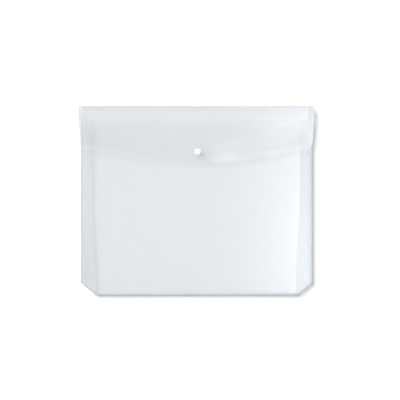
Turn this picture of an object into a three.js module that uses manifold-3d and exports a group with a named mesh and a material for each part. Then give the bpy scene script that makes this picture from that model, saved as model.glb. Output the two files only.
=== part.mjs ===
// Translucent plastic document envelope with a snap flap, side gussets and a folding base.
// Units are millimetres. It lies on its back panel: +X to the right, +Y to the flap fold, +Z up.
import * as THREE from 'three';
import { mergeVertices } from 'three/addons/utils/BufferGeometryUtils.js';
import Module from 'manifold-3d';

const wasm = await Module();
wasm.setup();

// Sheet and pocket
const SHEET = 0.5;
const CLEAR = 0.3;
const BODY_WIDTH = 310;
const BODY_HEIGHT = 254;
const MOUTH_DROP = 19;
const POCKET_GAP = 6;
const GUSSET_DEPTH = 16;
const BASE_DEPTH = 17;
const CHAMFER_WIDTH = 20.5;
const CORNER = 2.5;
const FOLD_OVERHANG = 3;

// Flap
const FLAP_GAP = 2;
const FLAP_OVERHANG = 1;
const FLAP_DEPTH = 77;
const FLAP_BOW = 20;
const FLAP_CORNER = 8;

// Snap
const SNAP_X = 2;
const SNAP_DROP = 62;
const CAP_RADIUS = 4.4;
const CAP_DOME = 1.25;
const POST_RADIUS = 1.3;
const POST_HEAD = 0.6;
const STUD_RADIUS = 4.2;
const STUD_FLANGE = 0.4;
const BALL_RADIUS = 2.2;
const SOCKET_BORE = 2.6;
const SEAT = 0.05;
const SHANK_CLEAR = 0.1;
const EASE = 0.25;
const ROUND_SIDES = 32;

// Levels and lines that follow from the sizes above
const TOP = BODY_HEIGHT / 2;
const SIDE = BODY_WIDTH / 2;
const FOLD_SIDE = SIDE + FOLD_OVERHANG;
const FLAP_SIDE = SIDE + FLAP_OVERHANG;
const BACK_TOP = SHEET;
const FRONT_LOW = BACK_TOP + POCKET_GAP;
const FRONT_TOP = FRONT_LOW + SHEET;
const FLAP_LOW = FRONT_TOP + FLAP_GAP;
const FLAP_TOP = FLAP_LOW + SHEET;
const MOUTH_Y = TOP - MOUTH_DROP;
const BASE_Y = -TOP + BASE_DEPTH;
const FOLD_Y = TOP - SHEET / 2;
const PANEL_END_Y = FOLD_Y - SHEET / 2 - CLEAR;
const SNAP_Y = TOP - SNAP_DROP;

// Folded angles at rest: the two leaves of a pair stay a gap of CLEAR apart at their shared fold
const GUSSET_ANGLE = Math.asin((POCKET_GAP / 2 - 1.5 * CLEAR - SHEET) / GUSSET_DEPTH);
const BASE_ANGLE = Math.atan((POCKET_GAP / 2 - CLEAR / 2) / BASE_DEPTH);

const frosted = {
  color: 0xe6ebf0, roughness: 0.42, metalness: 0, transparent: true, opacity: 0.55,
};
const fold = {
  color: 0xd8dee6, roughness: 0.5, metalness: 0, transparent: true, opacity: 0.75,
};
const white = { color: 0xfbfbf9, roughness: 0.3, metalness: 0 };

const envelope = new THREE.Group();

function add(name, geometry, finish, parent = envelope) {
  const mesh = new THREE.Mesh(geometry, new THREE.MeshStandardMaterial(finish));
  mesh.name = name;
  parent.add(mesh);
  return mesh;
}

// Closed three.js geometry to a solid and back
function toSolid(geometry) {
  const bare = geometry.clone();
  bare.deleteAttribute('normal');
  bare.deleteAttribute('uv');
  const merged = mergeVertices(bare, 1e-4);
  const mesh = new wasm.Mesh({
    numProp: 3,
    vertProperties: new Float32Array(merged.attributes.position.array),
    triVerts: new Uint32Array(merged.index.array),
  });
  return new wasm.Manifold(mesh);
}

function toGeometry(solid) {
  const mesh = solid.getMesh();
  const geometry = new THREE.BufferGeometry();
  geometry.setAttribute('position', new THREE.BufferAttribute(mesh.vertProperties, 3));
  geometry.setIndex(new THREE.BufferAttribute(mesh.triVerts, 1));
  geometry.computeVertexNormals();
  return geometry;
}

// Sheet of even thickness from an outline, its underside at z = low
function sheet(outline, low, thickness = SHEET) {
  const options = { depth: thickness, bevelEnabled: false, curveSegments: 5 };
  const geometry = new THREE.ExtrudeGeometry(outline, options);
  return geometry.translate(0, 0, low);
}

// Round hole for the snap's shank, cut through a sheet
function pierce(geometry, low) {
  const radius = POST_RADIUS + CLEAR;
  const drill = new THREE.CylinderGeometry(radius, radius, 3 * SHEET, ROUND_SIDES);
  drill.rotateX(Math.PI / 2);
  drill.translate(SNAP_X, SNAP_Y, low + SHEET / 2);
  return toGeometry(toSolid(geometry).subtract(toSolid(drill)));
}

// Solid of revolution about the snap's axis, from [radius, height] pairs
function turned(profile) {
  const points = profile.map(([radius, height]) => new THREE.Vector2(radius, height));
  const geometry = new THREE.LatheGeometry(points, ROUND_SIDES);
  geometry.rotateX(Math.PI / 2);
  geometry.translate(SNAP_X, SNAP_Y, 0);
  return toGeometry(toSolid(geometry));
}

// Back panel: parallel sides, flaring to the wider flap fold above the pocket mouth
function backOutline() {
  const low = BASE_Y + CLEAR / 2;
  const wide = FOLD_SIDE;
  const shape = new THREE.Shape();
  shape.moveTo(-SIDE, low);
  shape.lineTo(SIDE, low);
  shape.lineTo(SIDE, MOUTH_Y);
  shape.lineTo(wide, PANEL_END_Y - CORNER);
  shape.quadraticCurveTo(wide, PANEL_END_Y, wide - CORNER, PANEL_END_Y);
  shape.lineTo(-wide + CORNER, PANEL_END_Y);
  shape.quadraticCurveTo(-wide, PANEL_END_Y, -wide, PANEL_END_Y - CORNER);
  shape.lineTo(-SIDE, MOUTH_Y);
  shape.closePath();
  return shape;
}

add('back_panel', sheet(backOutline(), 0), frosted);

// Front panel: from the base crease to the pocket mouth, with a hole for the snap
function frontOutline() {
  const low = BASE_Y + CLEAR / 2;
  const shape = new THREE.Shape();
  shape.moveTo(-SIDE, low);
  shape.lineTo(SIDE, low);
  shape.lineTo(SIDE, MOUTH_Y - CORNER);
  shape.quadraticCurveTo(SIDE, MOUTH_Y, SIDE - CORNER, MOUTH_Y);
  shape.lineTo(-SIDE + CORNER, MOUTH_Y);
  shape.quadraticCurveTo(-SIDE, MOUTH_Y, -SIDE, MOUTH_Y - CORNER);
  shape.closePath();
  return shape;
}

add('front_panel', pierce(sheet(frontOutline(), FRONT_LOW), FRONT_LOW), frosted);

// Side gussets: on each side a rear leaf on the back panel's edge and a front leaf on the front's.
// A leaf turns about the line at u = 0 of its own plane, and runs inwards to its fold at u = depth.
function leafGeometry() {
  const length = MOUTH_Y - BASE_Y - 2 * CLEAR;
  const width = GUSSET_DEPTH + SHEET / 2;
  const leaf = new THREE.BoxGeometry(width, length, SHEET);
  return leaf.translate(width / 2 - SHEET / 2, 0, 0);
}

const hingeX = SIDE - SHEET / 2;
const leafRise = CLEAR + SHEET / 2;
const leafMiddleY = (MOUTH_Y + BASE_Y) / 2;

for (const [side, sign] of [['left', -1], ['right', 1]]) {
  for (const [face, level, up] of [
    ['rear', BACK_TOP + leafRise, 1],
    ['front', FRONT_LOW - leafRise, -1],
  ]) {
    const turn = new THREE.Group();
    turn.position.set(sign * hingeX, leafMiddleY, level);
    turn.rotation.y = sign > 0 ? Math.PI + up * GUSSET_ANGLE : -up * GUSSET_ANGLE;
    envelope.add(turn);
    add(`${side}_${face}_gusset_leaf`, leafGeometry(), frosted, turn);
  }
}

// Folding base: a rear and a front leaf whose ends are cut back, which makes the two low corners
function baseOutline() {
  const length = BASE_DEPTH / Math.cos(BASE_ANGLE);
  const start = CLEAR / 2;
  const along = (length - start) / length;
  const shape = new THREE.Shape();
  shape.moveTo(-SIDE + CHAMFER_WIDTH, -length);
  shape.lineTo(SIDE - CHAMFER_WIDTH, -length);
  shape.lineTo(SIDE - CHAMFER_WIDTH * (1 - along), -start);
  shape.lineTo(-SIDE + CHAMFER_WIDTH * (1 - along), -start);
  shape.closePath();
  return shape;
}

for (const [face, level, up] of [
  ['rear', SHEET / 2, 1],
  ['front', FRONT_LOW + SHEET / 2, -1],
]) {
  const turn = new THREE.Group();
  turn.position.set(0, BASE_Y, level);
  turn.rotation.x = -up * BASE_ANGLE;
  envelope.add(turn);
  add(`${face}_base_leaf`, sheet(baseOutline(), -SHEET / 2), frosted, turn);
}

// Flap fold: a narrow spine between two creases, standing on the back panel's top edge
const foldLength = 2 * (FOLD_SIDE - CORNER);

function crease(level) {
  const rod = new THREE.CylinderGeometry(SHEET / 2, SHEET / 2, foldLength, 12);
  rod.rotateZ(Math.PI / 2);
  return rod.translate(0, FOLD_Y, level);
}

const rearCreaseZ = SHEET / 2;
const flapCreaseZ = FLAP_LOW + SHEET / 2;
const spineLow = rearCreaseZ + SHEET / 2 + CLEAR;
const spineHigh = flapCreaseZ - SHEET / 2 - CLEAR;
const spine = new THREE.BoxGeometry(foldLength, SHEET, spineHigh - spineLow);
spine.translate(0, FOLD_Y, (spineHigh + spineLow) / 2);

add('rear_crease', crease(rearCreaseZ), fold);
add('top_spine', spine, frosted);
add('flap_crease', crease(flapCreaseZ), fold);

// Flap: tapers from the fold, and its lower edge bows down towards the snap
function flapOutline() {
  const wide = FOLD_SIDE;
  const narrow = FLAP_SIDE;
  const sideLow = TOP - FLAP_DEPTH + FLAP_BOW;
  const reach = narrow - FLAP_CORNER;
  const lowAt = (x) => TOP - FLAP_DEPTH + FLAP_BOW * (x / narrow) ** 2;
  const shape = new THREE.Shape();
  shape.moveTo(-reach, lowAt(reach));
  const steps = 24;
  for (let i = 1; i <= steps; i += 1) {
    const x = -reach + (2 * reach * i) / steps;
    shape.lineTo(x, lowAt(x));
  }
  shape.quadraticCurveTo(narrow, sideLow, narrow, sideLow + FLAP_CORNER);
  shape.lineTo(wide, PANEL_END_Y - CORNER);
  shape.quadraticCurveTo(wide, PANEL_END_Y, wide - CORNER, PANEL_END_Y);
  shape.lineTo(-wide + CORNER, PANEL_END_Y);
  shape.quadraticCurveTo(-wide, PANEL_END_Y, -wide, PANEL_END_Y - CORNER);
  shape.lineTo(-narrow, sideLow + FLAP_CORNER);
  shape.quadraticCurveTo(-narrow, sideLow, -reach, lowAt(reach));
  shape.closePath();
  return shape;
}

add('flap_panel', pierce(sheet(flapOutline(), FLAP_LOW), FLAP_LOW), frosted);

// Snap: cap and socket clamp the flap, post and stud clamp the front panel
const studLow = FRONT_TOP + SEAT;
const socketTop = FLAP_LOW - SEAT;
const socketLow = studLow + STUD_FLANGE + CLEAR;
const roof = CLEAR;
const ballTop = socketTop - roof - CLEAR;
const shankBore = POST_RADIUS + SHANK_CLEAR;

function capGeometry() {
  const low = FLAP_TOP + SEAT;
  const profile = [[0, socketTop - roof + SEAT], [POST_RADIUS, socketTop - roof + SEAT]];
  profile.push([POST_RADIUS, low], [CAP_RADIUS, low]);
  const rim = 0.35 * CAP_DOME;
  const steps = 6;
  for (let i = 0; i < steps; i += 1) {
    const t = (i / steps) * (Math.PI / 2);
    profile.push([CAP_RADIUS * Math.cos(t), low + rim + (CAP_DOME - rim) * Math.sin(t)]);
  }
  profile.push([0, low + CAP_DOME]);
  return turned(profile);
}

function socketGeometry() {
  return turned([
    [shankBore, socketTop - roof],
    [SOCKET_BORE, socketTop - roof],
    [SOCKET_BORE, socketLow],
    [STUD_RADIUS, socketLow],
    [STUD_RADIUS, socketTop],
    [shankBore, socketTop],
    [shankBore, socketTop - roof],
  ]);
}

function studGeometry() {
  const neckZ = studLow + STUD_FLANGE;
  return turned([
    [shankBore, studLow],
    [STUD_RADIUS, studLow],
    [STUD_RADIUS, neckZ],
    [BALL_RADIUS - EASE, neckZ],
    [BALL_RADIUS, (neckZ + ballTop) / 2],
    [BALL_RADIUS - EASE, ballTop],
    [shankBore, ballTop],
    [shankBore, studLow],
  ]);
}

function postGeometry() {
  const headTop = FRONT_LOW - SEAT;
  const headLow = headTop - POST_HEAD;
  return turned([
    [0, headLow],
    [CAP_RADIUS - EASE, headLow],
    [CAP_RADIUS, headLow + EASE],
    [CAP_RADIUS, headTop],
    [POST_RADIUS, headTop],
    [POST_RADIUS, ballTop - SEAT],
    [0, ballTop - SEAT],
  ]);
}

add('snap_cap', capGeometry(), white);
add('snap_socket', socketGeometry(), white);
add('snap_stud', studGeometry(), white);
add('snap_post', postGeometry(), white);

export default envelope;
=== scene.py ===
import math

import bpy
import numpy as np
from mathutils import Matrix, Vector


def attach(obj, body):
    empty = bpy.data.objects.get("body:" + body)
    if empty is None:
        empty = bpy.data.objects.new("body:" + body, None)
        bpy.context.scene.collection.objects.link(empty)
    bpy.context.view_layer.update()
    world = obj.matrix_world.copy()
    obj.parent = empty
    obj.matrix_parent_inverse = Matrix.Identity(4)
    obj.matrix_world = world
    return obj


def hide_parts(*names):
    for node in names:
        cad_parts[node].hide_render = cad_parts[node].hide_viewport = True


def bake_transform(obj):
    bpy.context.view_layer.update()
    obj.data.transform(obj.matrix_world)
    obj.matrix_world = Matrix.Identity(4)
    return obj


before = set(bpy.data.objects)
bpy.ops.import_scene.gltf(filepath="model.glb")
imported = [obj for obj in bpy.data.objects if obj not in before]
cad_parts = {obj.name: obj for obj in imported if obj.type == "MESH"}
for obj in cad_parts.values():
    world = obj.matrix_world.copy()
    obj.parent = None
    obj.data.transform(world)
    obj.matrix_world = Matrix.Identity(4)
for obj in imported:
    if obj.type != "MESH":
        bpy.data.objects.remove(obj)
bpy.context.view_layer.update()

# One millimetre in metres
MM = 0.001

# Sizes in millimetres, as in the solids: the sheets' middle surfaces and the lines they fold on
SHEET = 0.5
EDGE_ROUND = 0.4 * SHEET
BODY_SIDE = 155.0
FOLD_SIDE = 158.0 - EDGE_ROUND
FLAP_SIDE = 156.0
TOP = 127.0
MOUTH_Y = TOP - 19.0
FLARE_HEIGHT = 8.0
BASE_DEPTH = 17.0
BASE_Y = BASE_DEPTH - TOP
CHAMFER = 20.5
GUSSET_DEPTH = 16.0
GUSSET_FLARE = 5.0
HEM = 0.4
POCKET = 6.0
FLAP_GAP = 2.0
BACK_Z = SHEET / 2
FRONT_Z = BACK_Z + SHEET + POCKET
FLAP_Z = FRONT_Z + SHEET + FLAP_GAP
MIDDLE_Z = (BACK_Z + FRONT_Z) / 2
CREASE_BEND = 1.15
WALL_Y = TOP - SHEET / 2
BEND_Y = WALL_Y - CREASE_BEND
CORNER = 2.5
FLAP_CORNER = 8.0
FLAP_DEPTH = 77.0
FLAP_BOW = 20.0
TAPER_LOW = 72.0
TAPER_HIGH = 124.0
SNAP_X = 2.0
SNAP_Y = TOP - 62.0

# How far the soft forms depart from flat, in millimetres
PANEL_CROWN = 0.5
PANEL_RIPPLE = 0.03
FLAP_SETTLE = 1.45
FLAP_CORNER_LIFT = 0.7

# The base's section, from its crease to its fold, and how far down it the gussets reach
BASE_HALF = (FRONT_Z - BACK_Z) / 2
BASE_REACH = BASE_DEPTH - SHEET / 2
BASE_POWER = 8.0
GUSSET_END = 0.97

# Haze: the share of the light that one face of a sheet scatters where it is met straight on
HAZE = 0.245
BASE_FOLD_HAZE = 0.15
GUSSET_HAZE = 0.1
GUSSET_FOLD_HAZE = 0.25
GUSSET_HEM_HAZE = 0.5
PANEL_EDGE_HAZE = 0.42
FLARE_EDGE_HAZE = 0.28
FLAP_HAZE = HAZE - 0.104
FLAP_FOLD_HAZE = 0.102
FLAP_EDGE_HAZE = 0.35

# Shares of the haze that are left at a seam's hidden band, and where a sheet thins out
SEAM_SHARE = 0.1
MOUTH_SHARE = 0.3
FLAP_LOW_SHARE = 0.32


# Number helpers

def ease(t):
    """Smooth step: 3t squared minus 2t cubed, with t held between 0 and 1.

    Of a distance over a length it makes a form or a haze that sets in over that many millimetres.
    """
    t = np.clip(t, 0.0, 1.0)
    return t * t * (3.0 - 2.0 * t)


def crowded(count):
    """Positions from -1 to 1, closer at both ends: the sine of an even angle from -90 to 90 degrees."""
    return np.sin(np.linspace(-0.5 * math.pi, 0.5 * math.pi, count))


def snap_distance(x, y):
    """Distance in the sheet's plane from the snap's axis."""
    return np.hypot(x - SNAP_X, y - SNAP_Y)


def edge_press(distance, width):
    """Share of a fold's or an edge's extra haze at this distance from it: a bell curve, 1 on the edge."""
    return np.exp(-(distance / width) ** 2)


# Meshes

def make_mesh(name, points, faces, haze=None, normals=None, flat=0):
    """Mesh piece from points in millimetres, rows of four point numbers, and haze at each face's corners.

    It is shaded smooth, by the points' own normals where these are given. The first faces, as many as flat
    says, are shaded flat, so that a sheet's rim stands apart from its two faces.
    """
    mesh = bpy.data.meshes.new(name)
    mesh.vertices.add(len(points))
    mesh.vertices.foreach_set("co", (np.asarray(points, float) * MM).astype(np.float32).ravel())
    faces = np.asarray(faces, np.int32)
    mesh.loops.add(faces.size)
    mesh.loops.foreach_set("vertex_index", faces.ravel())
    mesh.polygons.add(len(faces))
    mesh.polygons.foreach_set("loop_start", np.arange(0, faces.size, 4, dtype=np.int32))
    mesh.polygons.foreach_set("use_smooth", np.arange(len(faces)) >= flat)
    mesh.update(calc_edges=True)
    mesh.validate()
    if haze is not None:
        layer = mesh.attributes.new("haze", "FLOAT", "CORNER")
        layer.data.foreach_set("value", np.asarray(haze, np.float32).ravel())
    if normals is not None:
        mesh.normals_split_custom_set_from_vertices(normals.tolist())
    piece = bpy.data.objects.new(name, mesh)
    bpy.context.scene.collection.objects.link(piece)
    return piece


def grid_faces(rows, columns, first=0):
    """Quads of a grid whose point (i, j) has number first + i * columns + j."""
    i, j = np.meshgrid(np.arange(rows - 1), np.arange(columns - 1), indexing="ij")
    a = (first + i * columns + j).ravel()
    return np.stack([a, a + columns, a + columns + 1, a + 1], axis=1)


def edge_loop(rows, columns):
    """Numbers of a grid's border points, once round, and the side, from 0 to 3, that each point belongs to.

    The sides run along i at the first j, along j at the last i, back along i, and back along j.
    """
    low = np.arange(rows) * columns
    far = (rows - 1) * columns + np.arange(1, columns)
    high = np.arange(rows - 2, -1, -1) * columns + columns - 1
    near = np.arange(columns - 2, 0, -1)
    sides = np.repeat([0, 1, 2, 3], [rows, columns - 1, rows - 1, columns - 2])
    return np.concatenate([low, far, high, near]), sides


def sheet_piece(name, middle, free, haze):
    """Closed sheet from a grid of points on its middle surface.

    The normal is the cross product of the two grid directions. The faces lie half a sheet's thickness to
    either side of the middle, and the border is closed by a band through the middle surface. Where that side is
    free, the band is pushed outwards, which rounds the cut edge. Where it meets the next sheet it isn't, and
    the band's haze falls to a tenth, because the material runs on there.
    """
    rows, columns = middle.shape[:2]
    along_i = np.gradient(middle, axis=0)
    along_j = np.gradient(middle, axis=1)
    normal = np.cross(along_i, along_j)
    normal /= np.linalg.norm(normal, axis=2, keepdims=True)
    level, upward = middle.reshape(-1, 3), normal.reshape(-1, 3)
    upper = level + upward * SHEET / 2
    lower = level - upward * SHEET / 2
    loop, sides = edge_loop(rows, columns)
    tangent = np.roll(level[loop], -1, axis=0) - np.roll(level[loop], 1, axis=0)
    outward = np.cross(tangent, upward[loop])
    outward /= np.linalg.norm(outward, axis=1, keepdims=True)
    free = np.asarray(free, bool)
    rim = level[loop] + outward * (free[sides] * EDGE_ROUND)[:, None]
    count = rows * columns
    around = np.arange(len(loop))
    following = np.roll(around, -1)
    band_up = np.stack([loop, 2 * count + around, 2 * count + following, loop[following]], axis=1)
    band_down = np.stack(
        [count + loop, count + loop[following], 2 * count + following, 2 * count + around], axis=1)
    upper_faces = grid_faces(rows, columns)
    lower_faces = grid_faces(rows, columns, count)[:, ::-1]
    faces = np.concatenate([band_up, band_down, upper_faces, lower_faces])
    points = np.concatenate([upper, lower, rim])
    field = np.broadcast_to(haze, (rows, columns)).ravel()
    corners = np.concatenate([field, field, field[loop]])[faces]
    cut = free[sides] & free[np.roll(sides, -1)]
    corners[:2 * len(loop)] *= np.where(np.tile(cut, 2), 1.0, SEAM_SHARE)[:, None]
    normals = np.concatenate([upward, -upward, outward])
    return make_mesh(name, points, faces, corners, normals, 2 * len(loop))


def turned_piece(name, profile, sides=72):
    """Solid of revolution about the snap's axis, from a closed run of (radius, height) pairs."""
    profile = np.asarray(profile, float)
    angle = np.arange(sides) * 2 * math.pi / sides
    radius, height = profile[:, 0][:, None], profile[:, 1][:, None]
    points = np.stack(
        [SNAP_X + radius * np.cos(angle), SNAP_Y + radius * np.sin(angle), height + 0 * angle], axis=2)
    rows = len(profile)
    i, j = np.meshgrid(np.arange(rows), np.arange(sides), indexing="ij")
    here, up = i * sides, ((i + 1) % rows) * sides
    right = (j + 1) % sides
    faces = np.stack([here + j, here + right, up + right, up + j], axis=2).reshape(-1, 4)
    return make_mesh(name, points.reshape(-1, 3), faces)


# Sheets of the envelope, each as the middle surface x, y, z over two parameters

def corner_inset(distance, radius):
    """How far a rounded corner draws the side in at this distance from the end.

    It is the radius less the height of its circle over the chord.
    """
    inside = np.clip(radius - distance, 0.0, radius)
    return radius - np.sqrt(radius ** 2 - inside ** 2)


def back_middle():
    """Flat field of the back panel: parallel sides up to the mouth, then flaring to the fold's rounded ends.

    Above the mouth the rows lie closer together towards the fold.
    """
    across = crowded(61)
    above = crowded(33)[17:]
    y = np.concatenate([np.linspace(BASE_Y, MOUTH_Y, 60), MOUTH_Y + (BEND_Y - MOUTH_Y) * above])
    side = BODY_SIDE - HEM * (y < MOUTH_Y) + (FOLD_SIDE - BODY_SIDE) * ease((y - MOUTH_Y) / FLARE_HEIGHT)
    side = side - corner_inset(WALL_Y - y, CORNER)
    x = across[:, None] * side[None, :]
    yy = np.broadcast_to(y, x.shape)
    return np.stack([x, yy, np.full_like(x, BACK_Z)], axis=2)


def front_swell(x, y):
    """Height of the front panel over its edges, flat at all edges and round the snap.

    It is a low crown in the lower body, a squared cosine across, and a faint ripple, a sine along x times one
    along y.
    """
    crown = PANEL_CROWN * np.cos(0.5 * math.pi * x / BODY_SIDE) ** 2
    crown = crown * ease((y - BASE_Y) / 60) * ease((MOUTH_Y - 20 - y) / 70)
    ripple = PANEL_RIPPLE * np.sin(x / 31.0 + 0.7) * np.sin(y / 27.0 + 0.4)
    ripple = ripple * ease((y - BASE_Y) / 30) * ease((MOUTH_Y - y) / 30) * ease((BODY_SIDE - np.abs(x)) / 25)
    return (crown + ripple) * ease((snap_distance(x, y) - 6) / 30)


def front_middle():
    """Front panel: parallel sides, small round corners at the pocket mouth, and the swell over its field."""
    across = crowded(101)
    y = BASE_Y + (MOUTH_Y - BASE_Y) * (0.5 + 0.5 * crowded(91))
    side = BODY_SIDE - HEM - corner_inset(MOUTH_Y - y, CORNER)
    x = across[:, None] * side[None, :]
    yy = np.broadcast_to(y, x.shape)
    return np.stack([x, yy, FRONT_Z + front_swell(x, yy)], axis=2)


def base_half(y):
    """Half the height between the base's leaves.

    It follows a superellipse: its shares of the full height and depth, each to the power 8, add up to 1.
    """
    share = np.clip((BASE_Y - y) / BASE_REACH, 0.0, 1.0)
    return BASE_HALF * (1.0 - share ** BASE_POWER) ** (1 / BASE_POWER)


def base_turn(lean):
    """Depth and half height of the base's section where the sheet leans by this angle from flat."""
    ratio = (BASE_REACH / BASE_HALF * np.tan(lean)) ** (1 / (BASE_POWER - 1))
    height = (1.0 + ratio ** BASE_POWER) ** (-1 / BASE_POWER)
    return BASE_REACH * ratio * height, BASE_HALF * height


def base_section():
    """The base's section in y and z, and how near each of its points is to the fold.

    It runs along the front leaf, round the fold at its end, and back along the rear leaf. Round the fold the
    points are spread evenly by the sheet's lean.
    """
    turned, turned_half = base_turn(np.linspace(0.03, 0.5 * math.pi, 19)[:-1])
    leaf = np.linspace(0, turned[0], 14)[:-1]
    y = BASE_Y - np.concatenate([leaf, turned])
    half = np.concatenate([base_half(BASE_Y - leaf), turned_half])
    fold_y = BASE_Y - BASE_REACH
    y = np.concatenate([y, [fold_y], y[::-1]])
    z = MIDDLE_Z + np.concatenate([half, [0.0], -half[::-1]])
    return y, z, edge_press(y - fold_y, 1.5)


def chamfer_side(y):
    """Half width of the body at y: full above the base crease, drawn in along the cut corners below it."""
    return BODY_SIDE - CHAMFER * np.clip((BASE_Y - y) / BASE_DEPTH, 0.0, 1.0)


def base_middle():
    """Folding base: its section carried across the envelope, ending on the cut corners."""
    y, z, fold = base_section()
    across = np.linspace(-1, 1, 61)
    x = across[:, None] * (chamfer_side(y) - HEM * (y >= BASE_Y))[None, :]
    shape = x.shape
    return np.stack([x, np.broadcast_to(y, shape), np.broadcast_to(z, shape)], axis=2), fold[None, :]


def gusset_rows():
    """Rows of a side gusset from the bottom fold to the mouth, closer together in the cut corner."""
    below = np.sin(0.5 * math.pi * np.linspace(1, 0, 24)[:-1])
    return np.concatenate([BASE_Y - BASE_REACH * GUSSET_END * below, np.linspace(BASE_Y, MOUTH_Y, 56)])


def gusset_middle(sign):
    """Side gusset: at each y a V between the back and the front panel, lofted down into the cut corner.

    Its section turns round a hem of 0.4 mm on the back panel's edge, runs in along the rear leaf to a rounded
    inner fold at middle height, and back out along the front leaf to the hem on the front panel's edge. The
    fold lies 16 mm in, and up to 5 mm more towards the base. In the cut corner the section shrinks with the
    base.
    """
    y = gusset_rows()
    half = base_half(y)
    hem = HEM * half / BASE_HALF
    outer = chamfer_side(y) - HEM
    flare = GUSSET_FLARE * (1 - ease((y - BASE_Y) / 110))
    inner = np.minimum(BODY_SIDE - GUSSET_DEPTH - flare, outer - 0.4)
    turn = np.linspace(-math.pi / 2, math.pi / 2, 9)[:, None]
    leaf = np.linspace(0, 1, 12)[1:-1, None]
    curl = np.linspace(-math.pi / 2, 0, 5)[:, None]
    rear_out = np.concatenate([
        outer + hem * np.cos(turn), outer + (inner + hem - outer) * leaf, inner + hem - hem * np.cos(curl)])
    rear_up = np.concatenate([
        hem - half + hem * np.sin(turn), 2 * hem - half + (half - 3 * hem) * leaf, hem * np.sin(curl)])
    out = np.concatenate([rear_out, rear_out[-2::-1]])
    up = np.concatenate([rear_up, -rear_up[-2::-1]])
    middle = np.stack([sign * out, np.broadcast_to(y, out.shape), MIDDLE_Z + up], axis=2)
    steps_from_fold = np.arange(len(out)) - (len(out) - 1) / 2
    fold = edge_press(steps_from_fold, 4.0)[:, None]
    pressed = edge_press(chamfer_side(y)[None, :] - out, 1.5)
    haze = GUSSET_HAZE + GUSSET_FOLD_HAZE * fold + GUSSET_HEM_HAZE * pressed
    haze = haze * (0.5 + 0.5 * ease((MOUTH_Y - y) / 34))
    return (middle, haze) if sign < 0 else (middle[::-1], haze[::-1])


def flap_low(x):
    """The flap's lower edge: a parabola that hangs lowest in the middle, ending in quarter-round corners."""
    edge = TOP - FLAP_DEPTH + FLAP_BOW * (x / FLAP_SIDE) ** 2
    return edge + corner_inset(FLAP_SIDE - np.abs(x), FLAP_CORNER)


def flap_side(y):
    """Half width of the flap at y: even at its lower end, widening in a straight line near its fold."""
    share = np.clip((y - TAPER_LOW) / (TAPER_HIGH - TAPER_LOW), 0.0, 1.0)
    return FLAP_SIDE + (FOLD_SIDE - FLAP_SIDE) * share


def flap_drop(x, y, share):
    """How far the flap hangs below its fold's level.

    It settles towards its lower edge, least at its corners, and is held up at the snap.
    """
    settle = FLAP_SETTLE - FLAP_CORNER_LIFT * ease((np.abs(x) - 108) / 48)
    return settle * ease((share - 0.15) / 0.85) * ease((snap_distance(x, y) - 7) / 60)


def flap_middle():
    """Flap: tapered sides, rounded ends at the fold, a bowed lower edge, and its drop to the front panel."""
    across = crowded(121)
    share = 0.5 + 0.5 * crowded(61)
    y = BEND_Y + (flap_low(across * FLAP_SIDE)[:, None] - BEND_Y) * share[None, :]
    x = across[:, None] * (flap_side(y) - corner_inset(WALL_Y - y, CORNER))
    spread = np.broadcast_to(share, x.shape)
    return np.stack([x, y, FLAP_Z - flap_drop(x, y, spread)], axis=2)


def bend_middle(centre_z, start, end):
    """Quarter-round crease along the top fold: an arc of radius 1.15 mm about a line parallel to x."""
    angle = np.linspace(start, end, 9)
    y = BEND_Y + CREASE_BEND * np.cos(angle)
    z = centre_z + CREASE_BEND * np.sin(angle)
    half = FOLD_SIDE - corner_inset(WALL_Y - y, CORNER)
    x = np.linspace(-1, 1, 81)[:, None] * half[None, :]
    return np.stack([x, np.broadcast_to(y, x.shape), np.broadcast_to(z, x.shape)], axis=2)


def spine_middle():
    """Spine: the narrow upright wall at the top fold, between the two creases."""
    z = np.linspace(BACK_Z + CREASE_BEND, FLAP_Z - CREASE_BEND, 9)
    x = np.broadcast_to(np.linspace(-1, 1, 81)[:, None] * (FOLD_SIDE - CORNER), (81, 9))
    return np.stack([x, np.full_like(x, WALL_Y), np.broadcast_to(z, x.shape)], axis=2)


def panel_haze(grid):
    """Haze of a flat panel: even over the field, more along the pressed sides and at the flare."""
    x, y = grid[..., 0], grid[..., 1]
    above = ease((y - MOUTH_Y) / FLARE_HEIGHT)
    side = BODY_SIDE + (FOLD_SIDE - BODY_SIDE) * above
    edge = PANEL_EDGE_HAZE + (FLARE_EDGE_HAZE - PANEL_EDGE_HAZE) * above
    return HAZE + edge * edge_press(side - np.abs(x), 2.0 + 2.5 * above)


def front_haze(grid):
    """Haze of the front panel: as the back panel's, thinning out over the last 26 mm to the pocket mouth."""
    return panel_haze(grid) * (MOUTH_SHARE + (1 - MOUTH_SHARE) * ease((MOUTH_Y - grid[..., 1]) / 26))


def flap_haze(grid):
    """Haze of the flap: denser towards its fold, thinning out over the last 16 mm to its lower edge."""
    x, y = grid[..., 0], grid[..., 1]
    cut_edge = edge_press(flap_side(y) - np.abs(x), 1.8 + 2.7 * ease((y - 90) / 20))
    haze = FLAP_HAZE + FLAP_FOLD_HAZE * ease((y - 78) / 34) + FLAP_EDGE_HAZE * cut_edge
    return haze * (FLAP_LOW_SHARE + (1 - FLAP_LOW_SHARE) * ease((y - flap_low(x)) / 16))


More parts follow.
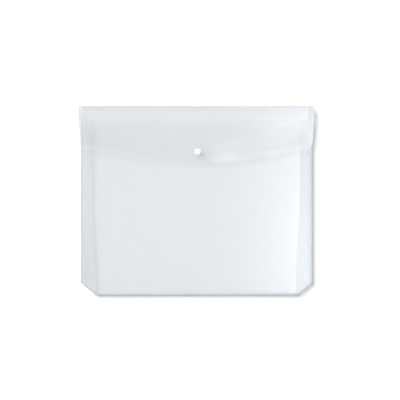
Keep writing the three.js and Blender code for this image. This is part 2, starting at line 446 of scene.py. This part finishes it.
back_grid = back_middle()
back_sheet = sheet_piece("back_sheet", back_grid, free=(0, 1, 0, 1), haze=panel_haze(back_grid))
front_grid = front_middle()
front_sheet = sheet_piece("front_sheet", front_grid, free=(0, 0, 1, 0), haze=front_haze(front_grid))
base_grid, base_fold = base_middle()
base_sheet = sheet_piece(
    "base_sheet", base_grid[:, ::-1], free=(0, 1, 0, 1), haze=HAZE + BASE_FOLD_HAZE * base_fold[:, ::-1])
left_grid, left_haze = gusset_middle(-1)
left_gusset = sheet_piece("left_gusset", left_grid, free=(1, 0, 1, 0), haze=left_haze)
right_grid, right_haze = gusset_middle(1)
right_gusset = sheet_piece("right_gusset", right_grid, free=(1, 0, 1, 0), haze=right_haze)
flap_grid = flap_middle()
flap_sheet = sheet_piece(
    "flap_sheet", flap_grid[:, ::-1], free=(1, 1, 0, 1), haze=flap_haze(flap_grid)[:, ::-1])
rear_bend = bend_middle(BACK_Z + CREASE_BEND, -math.pi / 2, 0)
rear_crease = sheet_piece("rear_crease_bend", rear_bend, free=(0, 1, 0, 1), haze=HAZE)
spine_sheet = sheet_piece("spine_sheet", spine_middle(), free=(0, 1, 0, 1), haze=HAZE)
flap_bend = bend_middle(FLAP_Z - CREASE_BEND, 0, math.pi / 2)
flap_crease = sheet_piece("flap_crease_bend", flap_bend, free=(0, 1, 0, 1), haze=HAZE)


# Snap: runs of (radius, height), a hair's breadth off the axis, so that each surface closes along it

AXIS = 0.02
BORE = 1.4


def rounded(profile, radius=0.12, steps=4):
    """A closed run of (radius, height) pairs with each corner eased by a short curve.

    The curve is a quadratic one: it leaves one side, is drawn to the corner, and joins the other side.
    """
    profile = np.asarray(profile, float)
    out = []
    share = np.linspace(0, 1, steps)[:, None]
    for k in range(len(profile)):
        a, b, c = profile[k - 1], profile[k], profile[(k + 1) % len(profile)]
        reach = min(radius, 0.45 * np.linalg.norm(a - b), 0.45 * np.linalg.norm(c - b))
        p = b + (a - b) / np.linalg.norm(a - b) * reach
        s = b + (c - b) / np.linalg.norm(c - b) * reach
        out.append((1 - share) ** 2 * p + 2 * share * (1 - share) * b + share ** 2 * s)
    return np.concatenate(out)


def cap_profile():
    """Snap cap: a prong, a flat underside, a rounded rim, and a low dome with a shallow dimple.

    The dome is 0.25 mm high and falls with the square of the radius. The dimple is a bell curve 0.12 mm deep.
    """
    prong, shoulder, radius = 1.3, 3.75, 4.4
    under, rim, crown = 9.55, 10.55, 10.8
    turn = np.linspace(0, math.pi / 2, 8)
    edge = np.stack([shoulder + (radius - shoulder) * np.cos(turn), rim - 0.5 + 0.5 * np.sin(turn)], axis=1)
    out = np.linspace(3.55, AXIS, 9)
    height = rim + (crown - rim) * (1 - (out / shoulder) ** 2) - 0.12 * np.exp(-(out / 0.8) ** 2)
    stem = [[AXIS, 8.72], [1.2, 8.72], [prong, 8.85], [prong, under], [4.25, under], [radius, under + 0.12]]
    return np.concatenate([stem, edge, np.stack([out, height], axis=1)])


snap_cap = turned_piece("cap_button", cap_profile())
snap_socket = turned_piece("socket_ring", rounded([
    [BORE, 8.65], [2.6, 8.65], [2.6, 7.75], [4.2, 7.75], [4.2, 8.95], [BORE, 8.95]]))
snap_stud = turned_piece("stud_ring", rounded([
    [BORE, 7.05], [4.2, 7.05], [4.2, 7.45], [1.95, 7.45], [2.2, 7.9], [1.95, 8.35], [BORE, 8.35]]))
snap_post = turned_piece("post_rivet", rounded([
    [AXIS, 5.85], [4.15, 5.85], [4.4, 6.1], [4.4, 6.45], [1.3, 6.45], [1.3, 8.3], [AXIS, 8.3]]))


# Materials

class Socket:
    """A shader value that takes part in arithmetic: each operator adds the Math node that works it out."""

    def __init__(self, paint, link):
        self.paint = paint
        self.link = link

    def _math(self, operation, first, second):
        return self.paint.node("ShaderNodeMath", {"operation": operation}, [first, second])

    def __add__(self, other):
        return self._math("ADD", self, other)

    __radd__ = __add__

    def __mul__(self, other):
        return self._math("MULTIPLY", self, other)

    __rmul__ = __mul__

    def __sub__(self, other):
        return self._math("SUBTRACT", self, other)

    def __rsub__(self, other):
        return self._math("SUBTRACT", other, self)

    def __truediv__(self, other):
        return self._math("DIVIDE", self, other)

    def __rtruediv__(self, other):
        return self._math("DIVIDE", other, self)

    def __pow__(self, other):
        return self._math("POWER", self, other)


class Paint:
    """The empty node tree of a new material, or of the world, and one method that adds any node."""

    def __init__(self, name, owner=None):
        self.material = owner or bpy.data.materials.new(name)
        self.material.use_nodes = True
        self.tree = self.material.node_tree
        self.tree.nodes.clear()

    def node(self, kind, settings=None, inputs=(), output=0):
        """Adds a node: its settings first, then its sockets' values or links. Gives one of its outputs."""
        made = self.tree.nodes.new(kind)
        for key, value in (settings or {}).items():
            setattr(made, key, value)
        pairs = inputs.items() if isinstance(inputs, dict) else enumerate(inputs)
        for key, value in pairs:
            if isinstance(value, Socket):
                self.tree.links.new(value.link, made.inputs[key])
            else:
                made.inputs[key].default_value = value
        return Socket(self, made.outputs[output]) if made.outputs else None

    def place(self):
        """The point's own place on the object, in metres."""
        return self.node("ShaderNodeTexCoord", output="Object")

    def noise(self, place, scale, detail=2.0):
        """Cloudy noise from 0 to 1 with this many cells to the metre."""
        return self.node("ShaderNodeTexNoise", {}, {"Vector": place, "Scale": scale, "Detail": detail})

    def blended(self, share, first, second):
        """A colour between two others."""
        return self.node("ShaderNodeMix", {"data_type": "RGBA"}, {0: share, 6: first, 7: second}, output=2)

    def seen(self):
        """1 on rays that show a background, seen, mirrored or let through. 0 or less on scattered light."""
        camera, glossy, transmission, diffuse = (
            self.node("ShaderNodeLightPath", output=f"Is {kind} Ray")
            for kind in ("Camera", "Glossy", "Transmission", "Diffuse"))
        return camera + glossy + transmission - diffuse

    def finish(self, surface):
        self.node("ShaderNodeOutputMaterial", {}, {"Surface": surface})
        return self.material


def grey(level):
    """An even grey of this level, as a colour for a node's socket."""
    return (level, level, level, 1.0)


def frosted_sheet(name, pale, deep):
    """Frosted polypropylene sheet.

    Each face lets through the share (1 - haze) to the power 1 / cosine of the angle it is met at, as a longer
    way through the sheet does, and scatters the rest, less of it forwards the denser the haze is. Over that
    lies a broad gloss of 0.04 + 0.96 (1 - cosine) to the power 5. A soft cloud changes haze, colour and
    roughness a little. Fine lines drawn out along x change roughness and relief, and a finer grain changes
    the relief. Where the sheet is pressed, past a haze of 0.3, it turns whiter. This is partly the whitening
    of pressed polypropylene and partly painted light: a lighter colour that keeps these dense edges from
    rendering darker than the rest of the panel.
    """
    # Colour of pressed sheet: partly the whitening of pressed polypropylene, partly painted light that lifts
    # the dense edges, which would otherwise render darker than the panel
    pressed_white_and_lift = (0.81, 0.83, 0.845, 1.0)
    through_tint = (0.99, 0.994, 0.997, 1.0)
    paint = Paint(name)
    place = paint.place()
    cloud = paint.noise(place, 46.0, 3.0)
    grain = paint.noise(place, 2600.0)
    drawn_out = paint.node("ShaderNodeMapping", {}, {"Vector": place, "Scale": (30.0, 900.0, 900.0)})
    drawn = paint.noise(drawn_out, 1.0)
    haze = paint.node("ShaderNodeAttribute", {"attribute_name": "haze"}, output="Fac")
    colour = paint.blended(cloud, (*deep, 1.0), (*pale, 1.0))
    # Past a haze of 0.3 the colour turns lighter: partly real whitening, partly painted light on the dense
    # edges
    colour = paint.blended((haze - 0.3) * 1.6, colour, pressed_white_and_lift)
    rough = 0.155 + 0.05 * cloud + 0.03 * drawn
    height = grain * 0.6 + drawn * 0.4
    bump = paint.node("ShaderNodeBump", {}, {"Strength": 0.04, "Distance": 0.00008, "Height": height})
    facing = paint.node("ShaderNodeLayerWeight", {}, {"Blend": 0.5}, output="Facing")
    cosine = paint.node("ShaderNodeMath", {"operation": "MAXIMUM"}, [1.0 - facing, 0.05])
    passed = (1.0 - haze * (0.96 + 0.08 * cloud)) ** (1.0 / cosine)
    body = paint.node("ShaderNodeBsdfPrincipled", {}, {
        "Base Color": colour, "Roughness": rough, "Specular IOR Level": 0.0, "Normal": bump})
    through = paint.node("ShaderNodeBsdfTranslucent", {}, {"Color": through_tint, "Normal": bump})
    forward = paint.node("ShaderNodeMath", {"operation": "MAXIMUM"}, [0.55 - 0.5 * haze, 0.06])
    scatter = paint.node("ShaderNodeMixShader", {}, [forward, body, through])
    clear = paint.node("ShaderNodeBsdfTransparent")
    sheet = paint.node("ShaderNodeMixShader", {}, [passed, scatter, clear])
    gloss = paint.node("ShaderNodeBsdfGlossy", {"distribution": "BECKMANN"}, {
        "Color": grey(1.0), "Roughness": rough, "Normal": bump})
    mirror = 0.04 + 0.96 * facing ** 5.0
    return paint.finish(paint.node("ShaderNodeMixShader", {}, [mirror, sheet, gloss]))


def white_plastic(name):
    """Opaque white moulded plastic with a faint swirl in its gloss and fine pitting."""
    paint = Paint(name)
    place = paint.place()
    flow = paint.noise(place, 320.0)
    pits = paint.noise(place, 4200.0)
    colour = paint.blended(flow, grey(0.955), grey(0.98))
    bump = paint.node("ShaderNodeBump", {}, {"Strength": 0.15, "Distance": 0.00005, "Height": pits})
    return paint.finish(paint.node("ShaderNodeBsdfPrincipled", {}, {
        "Base Color": colour, "Roughness": 0.22 + 0.14 * flow, "Normal": bump}))


sheet_finish = frosted_sheet("frosted_sheet", (0.783, 0.796, 0.805), (0.76, 0.775, 0.784))
crease_finish = frosted_sheet("pressed_crease", (0.8, 0.813, 0.822), (0.777, 0.792, 0.801))
snap_finish = white_plastic("white_snap")


# What each piece is made of, which solids it stands for, and what it rides on

def dress(piece, finish, nodes):
    """Gives a piece its finish and its material slot, and lets it stand for the solids it dresses."""
    piece.data.materials.append(finish)
    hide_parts(*nodes)


dress(back_sheet, sheet_finish, ["back_panel"])
dress(front_sheet, sheet_finish, ["front_panel"])
dress(flap_sheet, sheet_finish, ["flap_panel"])
dress(spine_sheet, sheet_finish, ["top_spine"])
dress(base_sheet, sheet_finish, ["rear_base_leaf", "front_base_leaf"])
dress(left_gusset, sheet_finish, ["left_rear_gusset_leaf", "left_front_gusset_leaf"])
dress(right_gusset, sheet_finish, ["right_rear_gusset_leaf", "right_front_gusset_leaf"])
dress(rear_crease, crease_finish, ["rear_crease"])
dress(flap_crease, crease_finish, ["flap_crease"])
dress(snap_cap, snap_finish, ["snap_cap"])
dress(snap_socket, snap_finish, ["snap_socket"])
dress(snap_stud, snap_finish, ["snap_stud"])
dress(snap_post, snap_finish, ["snap_post"])

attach(back_sheet, "back")
for piece in (front_sheet, snap_stud, snap_post):
    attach(piece, "front")
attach(spine_sheet, "spine")
for piece in (flap_sheet, snap_cap, snap_socket):
    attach(piece, "flap")
for piece in (base_sheet, left_gusset, right_gusset):
    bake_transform(piece)
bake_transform(rear_crease)
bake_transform(flap_crease)


# Stage: a white floor that keeps its shadows, soft light from the upper left and a soft box overhead

def floor_finish():
    """White paper floor. Where the camera sees it, also through a sheet, a little light lifts it to white."""
    paint = Paint("white_floor")
    fibre = paint.noise(paint.place(), 60.0)
    colour = paint.blended(fibre, grey(0.955), grey(0.965))
    paper = paint.node("ShaderNodeBsdfDiffuse", {}, {"Color": colour})
    glow = paint.node("ShaderNodeEmission", {}, {"Strength": 0.13})
    lift = paint.node("ShaderNodeMixShader", {}, {0: paint.seen(), 2: glow})
    return paint.finish(paint.node("ShaderNodeAddShader", {}, [paper, lift]))


def studio_world():
    """A faint even light all round, which looks white to the camera, in the gloss and through the sheets."""
    world = bpy.data.worlds.new("studio")
    bpy.context.scene.world = world
    paint = Paint("studio", world)
    faint = paint.node("ShaderNodeBackground", {}, {"Color": grey(1.0), "Strength": 0.05})
    white = paint.node("ShaderNodeBackground", {}, {"Color": grey(1.0), "Strength": 1.0})
    shown = paint.node("ShaderNodeMixShader", {}, [paint.seen(), faint, white])
    paint.node("ShaderNodeOutputWorld", {}, {"Surface": shown})


def facing_middle(name, lamp, place):
    """Puts a lamp at a place in metres, turned to face the envelope's middle."""
    stand = bpy.data.objects.new(name, lamp)
    bpy.context.scene.collection.objects.link(stand)
    stand.location = place
    stand.rotation_euler = (-Vector(place)).to_track_quat("-Z", "Y").to_euler()
    return stand


bpy.ops.mesh.primitive_plane_add(size=12.0, location=(0, 0, -0.0002))
floor = bpy.context.object
floor.name = "floor"
floor.data.materials.append(floor_finish())

studio_world()

# The key light stays out of the gloss, where so wide a lamp would cover the whole panel from low views
key_light = bpy.data.lights.new("key_light", "SUN")
key_light.energy = 3.55
key_light.angle = math.radians(40)
key_stand = facing_middle("key_light", key_light, (-0.48, 0.48, 0.73))
key_stand.visible_glossy = False

# The soft box gives the bluish sheen on the right half
side_softbox = bpy.data.lights.new("side_softbox", "AREA")
side_softbox.shape = "RECTANGLE"
side_softbox.size = 1.05
side_softbox.size_y = 0.5
side_softbox.energy = 10.6
side_softbox.color = (0.84, 0.91, 1.0)
facing_middle("side_softbox", side_softbox, (0.62, -0.07, 2.6))

# The camera looks straight down, and takes in VIEW_WIDTH half-way up the envelope, all in metres
CAMERA_HEIGHT = 1.9
VIEW_LEVEL = 0.005
VIEW_WIDTH = 0.5368
VIEW_MIDDLE = (0.00497, 0.0005)
camera_data = bpy.data.cameras.new("camera")
camera = bpy.data.objects.new("camera", camera_data)
bpy.context.scene.collection.objects.link(camera)
camera.location = (*VIEW_MIDDLE, CAMERA_HEIGHT)
camera.rotation_euler = (0.0, 0.0, 0.0)
camera_data.sensor_width = 36.0
camera_data.lens = camera_data.sensor_width * (CAMERA_HEIGHT - VIEW_LEVEL) / VIEW_WIDTH
camera_data.clip_start = 0.01
camera_data.clip_end = 20.0
bpy.context.scene.camera = camera
bpy.context.scene.view_settings.view_transform = "Standard"

# Light passes many faces here, and with fewer bounces the sheets would turn grey
cycles = bpy.context.scene.cycles
cycles.transparent_max_bounces = 32
cycles.max_bounces = 24
cycles.diffuse_bounces = 16
cycles.transmission_bounces = 16
